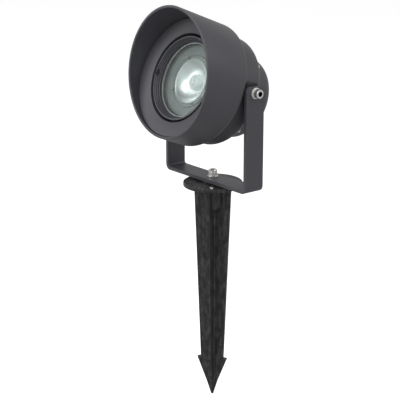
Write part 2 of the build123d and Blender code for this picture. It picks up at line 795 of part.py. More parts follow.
with BuildPart() as gland_nut:
    turn([(0, nut_back), (gland_nut_radius, nut_back), (gland_nut_radius, nut_front),
          (0, nut_front)],
         rounds=[((gland_nut_radius, nut_back), gland_nut_round)])
    for flat in seats_on_circle(station(nut_back), gland_nut_radius, 6):
        outward = flat.origin - station(nut_back).origin
        with Locations(Plane(origin=station(nut_back).origin, x_dir=outward, z_dir=lamp_forward)):
            with Locations((gland_nut_radius * nut_flat, 0, gland_nut_length)):
                Box(gland_nut_radius, 2 * gland_nut_radius, gland_nut_length * nut_flat_length,
                    align=(Align.MIN, Align.CENTER, Align.MAX), mode=Mode.SUBTRACT)
    ring(gland_spigot + shaft_clearance, 0, nut_front, seal_back - gland_seal_length,
         mode=Mode.SUBTRACT)
    ring(cable_way, 0, nut_front, nut_back, mode=Mode.SUBTRACT)
finish(gland_nut, "gland_nut")
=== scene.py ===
"""Looks of the light projector stake: a garden spotlight on a yoke and a ground spike.

Lengths are in metres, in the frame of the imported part. Inside the lamp, "station" is the
distance from the pivot along the lamp's own axis, forwards.
"""
import json
from math import atan2, cos, hypot, pi, radians, sin, tau

import bmesh
import bpy
from bpy.props import FloatProperty, FloatVectorProperty, IntProperty, PointerProperty
from mathutils import Matrix, Vector


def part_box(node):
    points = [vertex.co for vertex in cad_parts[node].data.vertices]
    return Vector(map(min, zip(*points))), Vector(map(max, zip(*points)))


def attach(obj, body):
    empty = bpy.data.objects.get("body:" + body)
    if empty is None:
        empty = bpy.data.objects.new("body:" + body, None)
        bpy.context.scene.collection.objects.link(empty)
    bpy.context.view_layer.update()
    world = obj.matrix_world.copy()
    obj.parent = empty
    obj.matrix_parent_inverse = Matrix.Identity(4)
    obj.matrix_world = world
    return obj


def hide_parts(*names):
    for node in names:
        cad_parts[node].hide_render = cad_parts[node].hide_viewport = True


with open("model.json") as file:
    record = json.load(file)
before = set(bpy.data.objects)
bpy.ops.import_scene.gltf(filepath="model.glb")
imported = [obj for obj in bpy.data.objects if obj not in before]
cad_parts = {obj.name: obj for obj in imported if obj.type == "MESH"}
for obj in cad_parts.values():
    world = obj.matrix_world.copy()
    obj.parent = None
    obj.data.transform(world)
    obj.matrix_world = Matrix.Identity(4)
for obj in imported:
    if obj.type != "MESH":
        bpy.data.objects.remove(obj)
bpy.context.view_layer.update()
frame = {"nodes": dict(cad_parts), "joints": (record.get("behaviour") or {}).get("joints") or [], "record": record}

bl_info = {
    "name": "Light Projector Stake",
    "version": (1, 0, 0),
    "blender": (4, 5, 0),
    "location": "View3D > Sidebar > Projector",
    "description": "Models and finishes a tilting garden spotlight on a ground spike",
    "category": "Add Mesh",
}

mm = 0.001
MERGE_DISTANCE = 0.002 * mm
ROUND_STEPS = 128  # faces round a large turned piece
SMALL_STEPS = 48  # faces round a screw or a boss
RIM_TOLERANCE = 0.05 * mm
NEAR = 0.1 * mm
SHARP_ANGLE = 28.0  # degrees between two faces that make an edge sharp
FLAT_AREA = 60 * mm * mm  # a larger face of a straight piece is shaded flat
ANY_AREA = 1.0  # square metres, larger than any face
BOWL_MOUTH = 25.0 * mm  # where the bowl meets its flat flange
M6_SHANK = 3.0 * mm  # radius
M6_KEY = 2.89 * mm  # the socket's corner radius
M6_KEY_DEPTH = 3.0 * mm
M6_HOLE = 3.05 * mm  # the yoke's holes, radius
AIM = Vector((-4.3, -15.4, -15.9)) * mm  # what the camera and the lights look at
FLOOR_HALF = 12.0
FLOOR_GLOW = 0.35
LIGHTS = (  # name, azimuth and elevation in degrees, distance and size in metres, power
    ("key_light", 8, 48, 1.6, 1.1, 13.0),
    ("front_light", 330, 22, 1.8, 1.2, 9.0),
    ("low_light", 70, -8, 1.8, 1.0, 3.0),
    ("side_light", 120, 40, 1.8, 1.0, 6.0),
)
X_AXIS = Vector((1, 0, 0))
Z_AXIS = Vector((0, 0, 1))


# ---- Measures taken from the frame ---------------------------------------------------------

def mount(name):
    """The record's mount of this name."""
    return next(entry for entry in frame["record"]["mounts"] if entry["name"] == name)


def joint(name):
    """The record's joint of this name."""
    return next(entry for entry in frame["joints"] if entry["name"] == name)


def lamp_place():
    """The matrix from lamp coordinates (across, up, station) to the frame."""
    forward = -Vector(mount("cable_gland")["axis"]).normalized()
    up = forward.cross(X_AXIS)
    behind = Vector(mount("cable_gland")["pos_m"])
    pivot = Vector(joint("lamp_tilt")["pos_m"])
    centre = behind + forward * forward.dot(pivot - behind)
    return Matrix.Translation(centre) @ Matrix((X_AXIS, up, forward)).transposed().to_4x4()


LAMP = lamp_place()
LAMP_INVERSE = LAMP.inverted()
PIVOT = Vector(joint("lamp_tilt")["pos_m"])
PIVOT_IN_LAMP = LAMP_INVERSE @ PIVOT


def off_axis(spot):
    """A point's distance from the Z axis."""
    return hypot(spot.x, spot.y)


def lamp_points(node):
    """Every vertex of a lamp node, in lamp coordinates."""
    return [LAMP_INVERSE @ vertex.co for vertex in frame["nodes"][node].data.vertices]


def corners(node):
    """(radius, station) of every vertex of a lamp node."""
    return [(off_axis(spot), spot.z) for spot in lamp_points(node)]


def span(node):
    """A lamp node's rearmost and foremost station."""
    stations = [station for _, station in corners(node)]
    return min(stations), max(stations)


def reach(node, behind=1.0, beyond=-1.0):
    """A lamp node's least and greatest radius, among its vertices between two stations."""
    radii = [radius for radius, station in corners(node) if beyond < station < behind]
    return min(radii), max(radii)


def mouth_slant():
    """The hood's mouth: the station of its highest point and of its lowest point."""
    rims = lamp_points("hood")
    outer = reach("hood")[1]
    highest = max(spot.z for spot in rims if spot.y > 0.98 * outer)
    lowest = max(spot.z for spot in rims if spot.y < -0.98 * outer)
    return highest, lowest


def islands(node):
    """The vertices of each separate solid of a CAD node, as points of the frame."""
    mesh = bmesh.new()
    mesh.from_mesh(frame["nodes"][node].data)
    bmesh.ops.remove_doubles(mesh, verts=mesh.verts, dist=MERGE_DISTANCE)
    waiting = set(mesh.verts)
    found = []
    while waiting:
        queue = [waiting.pop()]
        group = []
        while queue:
            vertex = queue.pop()
            group.append(vertex.co.copy())
            for edge in vertex.link_edges:
                other = edge.other_vert(vertex)
                if other in waiting:
                    waiting.remove(other)
                    queue.append(other)
        found.append(group)
    mesh.free()
    return found


def middle(spots):
    """The middle of the points' extent in X and in Y."""
    return [(min(values) + max(values)) / 2
            for values in ([spot.x for spot in spots], [spot.y for spot in spots])]


def head_seat(group, along, across):
    """Where a screw's head starts, and its radius, by measures along and across the screw."""
    head = max(across(spot) for spot in group)
    return min(along(spot) for spot in group if across(spot) > 0.98 * head), head


# ---- Sizes, colours and studio -------------------------------------------------------------

def length(name, description, default):
    return FloatProperty(
        name=name, description=description, default=default, min=0.0, unit="LENGTH")


def colour(name, description, default):
    return FloatVectorProperty(
        name=name, description=description, default=default, size=3, subtype="COLOR",
        min=0.0, max=1.0)


def brightness(name, description, default):
    return FloatProperty(name=name, description=description, default=default, min=0.0)


class ProjectorSizes(bpy.types.PropertyGroup):
    """The sizes that only the looks need."""

    edge_round: length("Edge Round", "Rounding of a cast edge under its paint", 0.45 * mm)
    strap_round: length("Strap Round", "Rounding along the edges of the yoke's flat bar", 0.7 * mm)
    rim_round: length("Rim Round", "Rounding of the two edges of the hood's mouth", 0.8 * mm)
    fin_root: length("Fin Root", "Fillet between two fins of the spike", 1.8 * mm)
    knurls: IntProperty(
        name="Knurls", description="Ridges round a socket screw's head",
        default=30, min=8, max=60)


class ProjectorColours(bpy.types.PropertyGroup):
    """The colours of the finishes."""

    coat: colour(
        "Powder Coat", "Dark grey paint of the castings and the yoke", (0.0450, 0.0443, 0.0525))
    plastic: colour("Moulded Plastic", "Black plastic of the spike", (0.012, 0.012, 0.0125))
    steel: colour("Steel", "Stainless steel of the screws and washers", (0.74, 0.725, 0.71))
    glass: colour(
        "Glass", "Tint of the light that passes the front glass", (0.935, 0.962, 0.955))
    plate: colour("Plate", "Pale plate round the reflector", (0.125, 0.136, 0.137))


class ProjectorStudio(bpy.types.PropertyGroup):
    """The camera and the surroundings."""

    azimuth: FloatProperty(
        name="Azimuth", description="Camera's turn about the spike: 0 looks along +Y",
        default=radians(51.25), subtype="ANGLE")
    elevation: FloatProperty(
        name="Elevation", description="Camera's height as an angle",
        default=radians(16.69), subtype="ANGLE")
    distance: FloatProperty(
        name="Distance", description="Camera to the point that it looks at",
        default=1.4197, min=0.1, unit="LENGTH")
    lens: FloatProperty(
        name="Lens", description="Focal length in millimetres, on a sensor 36 mm wide",
        default=111.6, min=10.0)
    sky_high: brightness("Sky Overhead", "Brightness of the surroundings overhead", 0.64)
    sky_level: brightness("Sky Level", "Brightness of the surroundings at eye level", 0.68)
    sky_low: brightness("Sky Below", "Brightness of the surroundings underneath", 0.52)


# ---- Shader nodes --------------------------------------------------------------------------

class Value:
    """A node's output. Arithmetic on it adds Math nodes."""

    def __init__(self, finish, socket):
        self.finish = finish
        self.socket = socket

    def math(self, operation, *values):
        return self.finish.add(
            "ShaderNodeMath", {"operation": operation}, dict(enumerate(values)))

    def __add__(self, other):
        return self.math("ADD", self, other)

    def __radd__(self, other):
        return self.math("ADD", other, self)

    def __rsub__(self, other):
        return self.math("SUBTRACT", other, self)

    def __mul__(self, other):
        return self.math("MULTIPLY", self, other)


class Finish:
    """A material: a Principled shader and the nodes that vary it."""

    def __init__(self, name, constants=None):
        self.material = bpy.data.materials.new(name)
        self.material.use_nodes = True
        self.tree = self.material.node_tree
        self.shader = self.tree.nodes["Principled BSDF"]
        self.output = self.tree.nodes["Material Output"]
        self.fill(self.shader, constants or {})

    def fill(self, node, sockets):
        for key, value in sockets.items():
            if isinstance(value, Value):
                self.tree.links.new(value.socket, node.inputs[key])
            elif isinstance(value, (tuple, list, Vector)) and node.inputs[key].type == "RGBA":
                node.inputs[key].default_value = (*value, 1.0)
            else:
                node.inputs[key].default_value = value

    def add(self, kind, settings=None, sockets=None, output=0):
        """Add a node: its settings first, then its sockets. Returns one of its outputs."""
        node = self.tree.nodes.new(kind)
        for key, value in (settings or {}).items():
            setattr(node, key, value)
        self.fill(node, sockets or {})
        return Value(self, node.outputs[output])

    def vary(self, sockets):
        self.fill(self.shader, sockets)

    def spots(self, scale=(1.0, 1.0, 1.0)):
        """Object coordinates, stretched."""
        plain = self.add("ShaderNodeTexCoord", output="Object")
        return self.add("ShaderNodeMapping", sockets={"Vector": plain, "Scale": scale})

    def noise(self, spots, size, detail=2.0, roughness=0.5):
        """Soft noise with features of about this size, from 0 to 1."""
        return self.add("ShaderNodeTexNoise", sockets={
            "Vector": spots, "Scale": 1 / size, "Detail": detail, "Roughness": roughness})

    def limits(self, value, low, high):
        """Map low..high smoothly to 0..1."""
        return self.add("ShaderNodeMapRange", {"interpolation_type": "SMOOTHSTEP"}, {
            "Value": value, "From Min": low, "From Max": high})

    def blend(self, amount, first, second):
        """A colour between two colours."""
        return self.add(
            "ShaderNodeMix", {"data_type": "RGBA"}, {0: amount, 6: first, 7: second}, output=2)

    def bump(self, height, depth):
        """Relief whose height of 1 stands this deep."""
        self.vary({"Normal": self.add("ShaderNodeBump", sockets={
            "Height": height, "Distance": depth, "Strength": 1.0})})


def tones(colour, low, high):
    """A darker and a lighter tone of a colour."""
    return [channel * low for channel in colour], [channel * high for channel in colour]


def lamp_radius(finish):
    """Distance from the lamp's axis, as a node value."""
    plain = finish.add("ShaderNodeTexCoord", output="Object")
    offset = finish.add(
        "ShaderNodeVectorMath", {"operation": "SUBTRACT"}, {0: plain, 1: LAMP.translation})
    across = finish.add(
        "ShaderNodeVectorMath", {"operation": "CROSS_PRODUCT"}, {0: offset, 1: LAMP.col[2].to_3d()})
    return finish.add("ShaderNodeVectorMath", {"operation": "LENGTH"}, {0: across}, output="Value")


# ---- Finishes, one for each material slot of the record ------------------------------------

def grey_powder_coat(name):
    """Dark grey powder paint: orange peel, fine grain and faint clouds."""
    paint = Finish(name, {"Specular IOR Level": 0.5, "Coat Roughness": 0.3})
    colour = bpy.context.scene.projector_colours.coat
    spots = paint.spots()
    clouds = paint.noise(spots, 38 * mm, 3.0)
    peel = paint.noise(spots, 1.5 * mm, 2.0)
    grain = paint.noise(spots, 0.32 * mm, 1.0)
    darker, lighter = tones(colour, 0.86, 1.14)
    paint.vary({
        "Base Color": paint.blend(clouds * 0.7 + grain * 0.3, darker, lighter),
        "Roughness": 0.36 + clouds * 0.10 + grain * 0.06,
    })
    paint.bump(peel * 0.65 + grain * 0.35, 0.035 * mm)
    return paint.material


def grey_coated_aluminium(name):
    """The same paint on the castings."""
    return grey_powder_coat(name)


def black_moulded_plastic(name):
    """Black plastic of the spike: flow marks down its length, mottled sheen, dust in the pores."""
    plastic = Finish(name, {"Specular IOR Level": 0.45})
    colour = bpy.context.scene.projector_colours.plastic
    flow = plastic.noise(plastic.spots(scale=(1.0, 1.0, 0.22)), 3.4 * mm, 4.0, 0.62)
    mottle = plastic.noise(plastic.spots(scale=(1.0, 1.0, 0.6)), 5.5 * mm, 3.0, 0.6)
    pores = plastic.noise(plastic.spots(), 0.9 * mm, 2.0)
    marks = plastic.limits(flow * 0.55 + mottle * 0.45, 0.42, 0.66)
    darker, lighter = tones(colour, 0.5, 3.7)
    plastic.vary({
        "Base Color": plastic.blend(marks, darker, lighter),
        "Roughness": 0.52 - marks * 0.16 + pores * 0.08,
    })
    plastic.bump(mottle * 0.6 + flow * 0.25 + pores * 0.15, 0.35 * mm)
    return plastic.material


def stainless_steel(name):
    """Turned stainless steel: fine scratches and handling marks."""
    steel = Finish(name, {"Metallic": 1.0})
    colour = bpy.context.scene.projector_colours.steel
    scratches = steel.noise(steel.spots(scale=(1.0, 6.0, 9.0)), 1.2 * mm, 3.0, 0.6)
    marks = steel.noise(steel.spots(), 3 * mm, 2.0)
    darker, lighter = tones(colour, 0.82, 1.12)
    steel.vary({
        "Base Color": steel.blend(marks, darker, lighter),
        "Roughness": 0.16 + scratches * 0.16 + marks * 0.06,
    })
    steel.bump(scratches, 0.02 * mm)
    return steel.material


def tempered_glass(name):
    """Clear front glass: a thin haze all over, and a painted highlight at the bezel's edge: a paler, more opaque
    ring.
    """
    glass = Finish(name, {"IOR": 1.5, "Specular IOR Level": 0.5})
    haze = glass.noise(glass.spots(), 12 * mm, 3.0)
    radius = lamp_radius(glass)
    opening = reach("bezel_ring")[0]
    # painted highlight: a paler, more opaque ring just inside the bezel's opening stands in for the light that the
    # glass's edge catches
    painted_rim_highlight = glass.limits(radius, opening - 0.9 * mm, opening - 0.45 * mm)
    glass.vary({
        "Base Color": glass.blend(haze, (0.46, 0.53, 0.50), (0.58, 0.64, 0.61)),
        "Roughness": 0.04 + haze * 0.03,
    })
    clear = glass.add("ShaderNodeBsdfTransparent", sockets={
        "Color": bpy.context.scene.projector_colours.glass[:]})
    cover = glass.add("ShaderNodeMath", {"operation": "MAXIMUM"}, {
        0: haze * 0.08 + 0.06, 1: painted_rim_highlight * 0.75})
    body = Value(glass, glass.shader.outputs["BSDF"])
    mixed = glass.add("ShaderNodeMixShader", sockets={0: cover, 1: clear, 2: body})
    glass.fill(glass.output, {"Surface": mixed})
    return glass.material


def metallised_reflector(name):
    """Satin metallised bowl with a fine orange peel."""
    mirror = Finish(name, {"Metallic": 1.0})
    spots = mirror.spots()
    peel = mirror.noise(spots, 2.2 * mm, 2.0)
    haze = mirror.noise(spots, 7 * mm, 3.0)
    satin = mirror.blend(haze, (0.84, 0.87, 0.87), (0.96, 0.97, 0.97))
    flange = mirror.limits(lamp_radius(mirror), BOWL_MOUTH - 0.3 * mm, BOWL_MOUTH + 0.5 * mm)
    mirror.vary({
        "Base Color": mirror.blend(flange, satin, (0.16, 0.17, 0.17)),
        "Roughness": 0.30 + haze * 0.12,
    })
    mirror.bump(peel, 0.05 * mm)
    return mirror.material


MADE_FINISHES = (
    grey_powder_coat, grey_coated_aluminium, black_moulded_plastic, stainless_steel,
    tempered_glass, metallised_reflector,
)

# Each slot's constants, darker and lighter colour, and three noises as (size in mm, detail):
# tint varies the colour, sheen the roughness from a value by an amount, relief the surface by its
# depth in mm. The plate's colour is a property.
NOISE_FINISHES = {
    # small screws round the glass
    "blackened_steel": (
        {"Metallic": 0.6, "Specular IOR Level": 0.5},
        ((0.018, 0.018, 0.018), (0.040, 0.040, 0.041)),
        (1.5, 2.0), ((1.5, 2.0), 0.32, 0.16), ((1.5, 2.0), 0.02)),
    # satin, with an eroded grain
    "black_nylon": (
        {"Specular IOR Level": 0.4},
        ((0.010, 0.010, 0.010), (0.022, 0.022, 0.023)),
        (9, 2.0), ((0.5, 2.0), 0.42, 0.16), ((0.5, 2.0), 0.06)),
    "white_nylon": (
        {"Subsurface Weight": 0.0},
        ((0.66, 0.65, 0.60), (0.76, 0.75, 0.71)),
        (6, 2.0), ((6, 2.0), 0.40, 0.15), ((0.4, 2.0), 0.04)),
    # turned, so its noise is drawn out round the axis
    "brass_insert": (
        {"Metallic": 1.0},
        ((0.60, 0.42, 0.16), (0.78, 0.58, 0.26)),
        (2, 2.0), ((2, 2.0), 0.22, 0.18), ((2, 2.0), 0.02), (1.0, 1.0, 14.0)),
    # dull silicone with dust
    "black_rubber": (
        {"Specular IOR Level": 0.3},
        ((0.010, 0.010, 0.010), (0.026, 0.026, 0.026)),
        (2.5, 4.0), ((2.5, 4.0), 0.62, 0.2), ((0.5, 2.0), 0.05)),
    # circuit board under white solder mask
    "bare_aluminium": (
        {"Metallic": 0.0},
        ((0.68, 0.70, 0.70), (0.78, 0.80, 0.80)),
        (4, 2.0), ((4, 2.0), 0.35, 0.1), ((4, 2.0), 0.02)),
    "led_phosphor": (
        {"Coat Roughness": 0.1},
        ((0.80, 0.62, 0.16), (0.90, 0.76, 0.30)),
        (0.3, 2.0), ((0.3, 2.0), 0.3, 0.2), ((0.3, 2.0), 0.03)),
    # frosted moulding over the light source
    "clear_lens": (
        {"Specular IOR Level": 0.6},
        ((0.66, 0.71, 0.70), (0.82, 0.85, 0.85)),
        (3, 2.0), ((0.7, 2.0), 0.12, 0.12), ((0.7, 2.0), 0.03)),
    # satin plate round the reflector
    "pale_plate": (
        {"Specular IOR Level": 0.5}, None,
        (14, 3.0), ((0.8, 2.0), 0.34, 0.12), ((0.8, 2.0), 0.03)),
    # potting resin
    "potted_driver": (
        {"Specular IOR Level": 0.5},
        ((0.030, 0.030, 0.033), (0.055, 0.055, 0.060)),
        (5, 3.0), ((5, 3.0), 0.25, 0.2), ((5, 3.0), 0.2)),
    # silicone sleeve of the leads
    "red_lead": (
        {"Specular IOR Level": 0.4},
        ((0.42, 0.02, 0.02), (0.56, 0.04, 0.035)),
        (2, 2.0), ((2, 2.0), 0.42, 0.12), ((2, 2.0), 0.05)),
}


def noise_finish(name, constants, colours, tint, sheen, relief, stretch=(1.0, 1.0, 1.0)):
    """A finish whose colour, roughness and relief each follow a noise."""
    finish = Finish(name, constants)
    spots = finish.spots(stretch)
    sheen_noise, rough, rougher = sheen
    relief_noise, depth = relief
    marks = {
        noise: finish.noise(spots, noise[0] * mm, noise[1])
        for noise in (tint, sheen_noise, relief_noise)
    }
    darker, lighter = colours or tones(bpy.context.scene.projector_colours.plate, 0.88, 1.12)
    finish.vary({
        "Base Color": finish.blend(marks[tint], darker, lighter),
        "Roughness": rough + marks[sheen_noise] * rougher,
    })
    finish.bump(marks[relief_noise], depth * mm)
    return finish.material


def finish_for(slot):
    """The material of a slot, made when it is first asked for."""
    made = bpy.data.materials.get(slot)
    if made:
        return made
    if slot in NOISE_FINISHES:
        return noise_finish(slot, *NOISE_FINISHES[slot])
    maker = next(maker for maker in MADE_FINISHES if maker.__name__ == slot)
    return maker(slot)


# ---- Mesh helpers --------------------------------------------------------------------------

def lathe(outline, steps=ROUND_STEPS):
    """Turn an outline of (radius, station) points about the Z axis into a closed mesh."""
    mesh = bmesh.new()
    points = [mesh.verts.new((radius, 0.0, station)) for radius, station in outline]
    pairs = list(zip(points, points[1:]))
    if outline[0][0] > 0 or outline[-1][0] > 0:
        pairs.append((points[-1], points[0]))
    lines = [mesh.edges.new(pair) for pair in pairs]
    bmesh.ops.spin(mesh, geom=points + lines, axis=Z_AXIS, cent=(0, 0, 0), dvec=(0, 0, 0),
                   angle=tau, steps=steps, use_merge=True, use_duplicate=False)
    clean(mesh)
    return mesh


def clean(mesh):
    """Merge doubled vertices, then turn every face outwards."""
    bmesh.ops.remove_doubles(mesh, verts=mesh.verts, dist=MERGE_DISTANCE)
    bmesh.ops.dissolve_degenerate(mesh, edges=mesh.edges, dist=MERGE_DISTANCE)
    bmesh.ops.recalc_face_normals(mesh, faces=mesh.faces)


def rim(mesh, radius, station):
    """The edges that run round the Z axis at this radius and station."""
    def on_rim(vertex):
        off_radius = abs(off_axis(vertex.co) - radius)
        return off_radius < RIM_TOLERANCE and abs(vertex.co.z - station) < RIM_TOLERANCE
    return [edge for edge in mesh.edges if all(on_rim(vertex) for vertex in edge.verts)]


def round_edges(mesh, edges, radius, segments=4):
    """Round some edges."""
    bmesh.ops.bevel(mesh, geom=edges, offset=radius, offset_type="OFFSET", segments=segments,
                    profile=0.5, affect="EDGES", material=-1, clamp_overlap=True)


def round_rims(mesh, *rims):
    """Round rims one after the other: (radius, station, rounding, segments)."""
    for radius, station, rounding, segments in rims:
        round_edges(mesh, rim(mesh, radius, station), rounding, segments)


def rings(loops, place=None, mesh=None):
    """Bridge rings of (sides, radius, height) one after the other and close both ends.

    A fourth value is a ridge: every other vertex is drawn in to that share of the radius.
    """
    mesh = mesh or bmesh.new()
    before = set(mesh.verts)
    last = len(loops) - 1
    previous = None
    for step, (sides, radius, height, *ridge) in enumerate(loops):
        made = bmesh.ops.create_circle(mesh, cap_ends=step in (0, last), segments=sides,
                                       radius=radius, matrix=Matrix.Translation((0, 0, height)))
        if ridge:
            share = ridge[0]
            bmesh.ops.scale(mesh, vec=(share, share, 1.0), verts=made["verts"][::2])
        own = set(made["verts"])
        edges = [edge for edge in mesh.edges if own.issuperset(edge.verts)]
        if previous:
            bmesh.ops.bridge_loops(mesh, edges=previous + edges)
        previous = edges
    if place:
        added = [vertex for vertex in mesh.verts if vertex not in before]
        bmesh.ops.transform(mesh, matrix=place, verts=added)
    clean(mesh)
    return mesh


def screw(mesh, place, shank, head, height, key, depth, length, ridges=None):
    """A hex-socket screw that stands on its place's XY plane."""
    edge = 0.12 * head
    tip = 0.5 * shank
    round_sides = SMALL_STEPS // 2
    sides = 2 * ridges if ridges else SMALL_STEPS
    drawn = (0.955,) if ridges else ()
    return rings([
        (round_sides, shank - tip * 0.5, -length),
        (round_sides, shank, -length + tip),
        (round_sides, shank, 0.0),
        (sides, head - edge * 0.4, 0.0),
        (sides, head, edge * 0.4, *drawn),
        (sides, head, height - edge, *drawn),
        (sides, head - edge, height),
        (6, key * 1.08, height),
        (6, key, height - edge * 0.3),
        (6, key, height - depth),
    ], place, mesh)


def combine(first, second, operation="UNION"):
    """Join a mesh with another, or cut it by the other. Both are used up."""
    holders = []
    for mesh in (first, second):
        data = bpy.data.meshes.new("working")
        mesh.to_mesh(data)
        mesh.free()
        holders.append(bpy.data.objects.new("working", data))
        bpy.context.scene.collection.objects.link(holders[-1])
    step = holders[0].modifiers.new("combine", "BOOLEAN")
    step.operation = operation
    step.solver = "EXACT"
    step.object = holders[1]
    graph = bpy.context.evaluated_depsgraph_get()
    result = bmesh.new()
    result.from_object(holders[0], graph)
    for holder in holders:
        data = holder.data
        bpy.data.objects.remove(holder)
        bpy.data.meshes.remove(data)
    clean(result)
    return result


def bored(mesh, radius, start, end, place=None):
    """The mesh with a round hole cut out of it, from one height to another."""
    hole = rings([(SMALL_STEPS, radius, start), (SMALL_STEPS, radius, end)], place)
    return combine(mesh, hole, "DIFFERENCE")


def pull(mesh, face, by):
    """Extrude a face by a vector. Returns the new face and its vertices."""
    drawn = bmesh.ops.extrude_face_region(mesh, geom=[face])["geom"]
    verts = [item for item in drawn if isinstance(item, bmesh.types.BMVert)]
    bmesh.ops.translate(mesh, vec=by, verts=verts)
    return next(item for item in drawn if isinstance(item, bmesh.types.BMFace)), verts


def quarter_turn(side=1):
    """A turn that brings Z to X (1) or to -X (-1)."""
    return Matrix.Rotation(side * pi / 2, 4, "Y")


def spin(mesh, angle, axis="Z"):
    """Turn a whole mesh about an axis through the origin."""
    bmesh.ops.rotate(mesh, cent=(0, 0, 0), matrix=Matrix.Rotation(angle, 3, axis),
                     verts=mesh.verts)


def piece(mesh, name, body, slot, replaces=(), place=None, soften=0.0, angle=SHARP_ANGLE,
          flat_above=ANY_AREA):
    """Make an object of a mesh, give it its finish and set it on its body."""
    clean(mesh)
    if place:
        bmesh.ops.transform(mesh, matrix=place, verts=mesh.verts)
    data = bpy.data.meshes.new(name)
    mesh.to_mesh(data)
    mesh.free()
    made = bpy.data.objects.new(name, data)
    bpy.context.scene.collection.objects.link(made)
    data.materials.append(finish_for(slot))
    if soften:
        edges = made.modifiers.new("soften", "BEVEL")
        edges.width = soften
        edges.segments = 3
        edges.limit_method = "ANGLE"
        edges.angle_limit = radians(angle)
        edges.use_clamp_overlap = True
    data.set_sharp_from_angle(angle=radians(angle))
    for face in data.polygons:
        face.use_smooth = len(face.vertices) <= 4 and face.area < flat_above
    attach(made, body)
    if replaces:
        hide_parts(*replaces)
    return made


def lamp_seat(angle, radius, station, facing=1):
    """A place inside the lamp for a screw that faces forwards (1) or backwards (-1)."""
    spot = Matrix.Translation((radius * cos(angle), radius * sin(angle), station))
    if facing < 0:
        spot = spot @ Matrix.Rotation(pi, 4, "X")
    return LAMP @ spot


def casting(mesh, name, node, **options):
    """A coated casting of the lamp, given in lamp coordinates."""
    piece(mesh, name, "lamp", "grey_coated_aluminium", [node], LAMP, **options)


# ---- The pieces ----------------------------------------------------------------------------

class PROJECTOR_OT_stage(bpy.types.Operator):
    """Set the floor, the surroundings, the lights and the camera"""
    bl_idname = "projector.stage"
    bl_label = "Stage"

    def execute(self, context):
        studio = context.scene.projector_studio
        context.scene.view_settings.view_transform = "Standard"
        for plain in list(bpy.data.materials):
            bpy.data.materials.remove(plain)
        self.floor()
        self.surroundings(studio)
        for name, azimuth, elevation, distance, size, power in LIGHTS:
            light = bpy.data.lights.new(name, "AREA")
            light.shape = "RECTANGLE"
            light.size = light.size_y = size
            light.energy = power
            holder = self.aimed(name, light, radians(azimuth), radians(elevation), distance)
            holder.visible_camera = False
        camera = bpy.data.cameras.new("camera")
        camera.lens = studio.lens
        camera.sensor_width = 36.0
        context.scene.camera = self.aimed(
            "camera", camera, studio.azimuth, studio.elevation, studio.distance)
        return {"FINISHED"}

    @staticmethod
    def aimed(name, data, azimuth, elevation, distance):
        """A light or a camera that looks at the aim from this direction and distance."""
        level = cos(elevation)
        toward = Vector((sin(azimuth) * level, -cos(azimuth) * level, sin(elevation)))
        holder = bpy.data.objects.new(name, data)
        bpy.context.scene.collection.objects.link(holder)
        holder.location = AIM + distance * toward
        holder.rotation_euler = (-toward).to_track_quat("-Z", "Y").to_euler()
        return holder

    def floor(self):
        lowest = min(corner.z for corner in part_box("stake"))
        mesh = bmesh.new()
        bmesh.ops.create_grid(mesh, x_segments=1, y_segments=1, size=FLOOR_HALF)
        bmesh.ops.translate(mesh, vec=(0, 0, lowest), verts=mesh.verts)
        data = bpy.data.meshes.new("floor")
        mesh.to_mesh(data)
        mesh.free()
        floor = bpy.data.objects.new("floor", data)
        bpy.context.scene.collection.objects.link(floor)
        paper = Finish("white_paper", {"Roughness": 0.9, "Emission Strength": FLOOR_GLOW})
        drift = paper.noise(paper.spots(), 0.6, 2.0)
        paper.vary({
            "Base Color": paper.blend(drift, (0.93, 0.93, 0.93), (0.96, 0.96, 0.96)),
            "Emission Color": (1.0, 1.0, 1.0),
        })
        data.materials.append(paper.material)
        for ray in ("diffuse", "glossy", "transmission", "shadow"):
            setattr(floor, "visible_" + ray, False)

    def surroundings(self, studio):
        world = bpy.data.worlds.new("surroundings")
        world.use_nodes = True
        bpy.context.scene.world = world
        nodes = world.node_tree.nodes
        links = world.node_tree.links
        spots = nodes.new("ShaderNodeTexCoord")
        parts = nodes.new("ShaderNodeSeparateXYZ")
        links.new(spots.outputs["Generated"], parts.inputs[0])
        either = nodes.new("ShaderNodeMath")
        either.operation = "ADD"
        for place, bottom, top, low, high in (
            (0, -0.5, 0.1, studio.sky_low, studio.sky_level),
            (1, 0.0, 0.9, 0.0, studio.sky_high - studio.sky_level),
        ):
            ramp = nodes.new("ShaderNodeMapRange")
            ramp.interpolation_type = "SMOOTHSTEP"
            links.new(parts.outputs["Z"], ramp.inputs["Value"])
            for key, value in (("From Min", bottom), ("From Max", top), ("To Min", low),
                               ("To Max", high)):
                ramp.inputs[key].default_value = value
            links.new(ramp.outputs["Result"], either.inputs[place])
        seen = nodes.new("ShaderNodeLightPath")
        strength = nodes.new("ShaderNodeMix")
        links.new(seen.outputs["Is Camera Ray"], strength.inputs["Factor"])
        links.new(either.outputs[0], strength.inputs["A"])
        strength.inputs["B"].default_value = 1.0
        background = nodes["Background"]
        background.inputs["Color"].default_value = (1.0, 1.0, 1.0, 1.0)
        links.new(strength.outputs["Result"], background.inputs["Strength"])


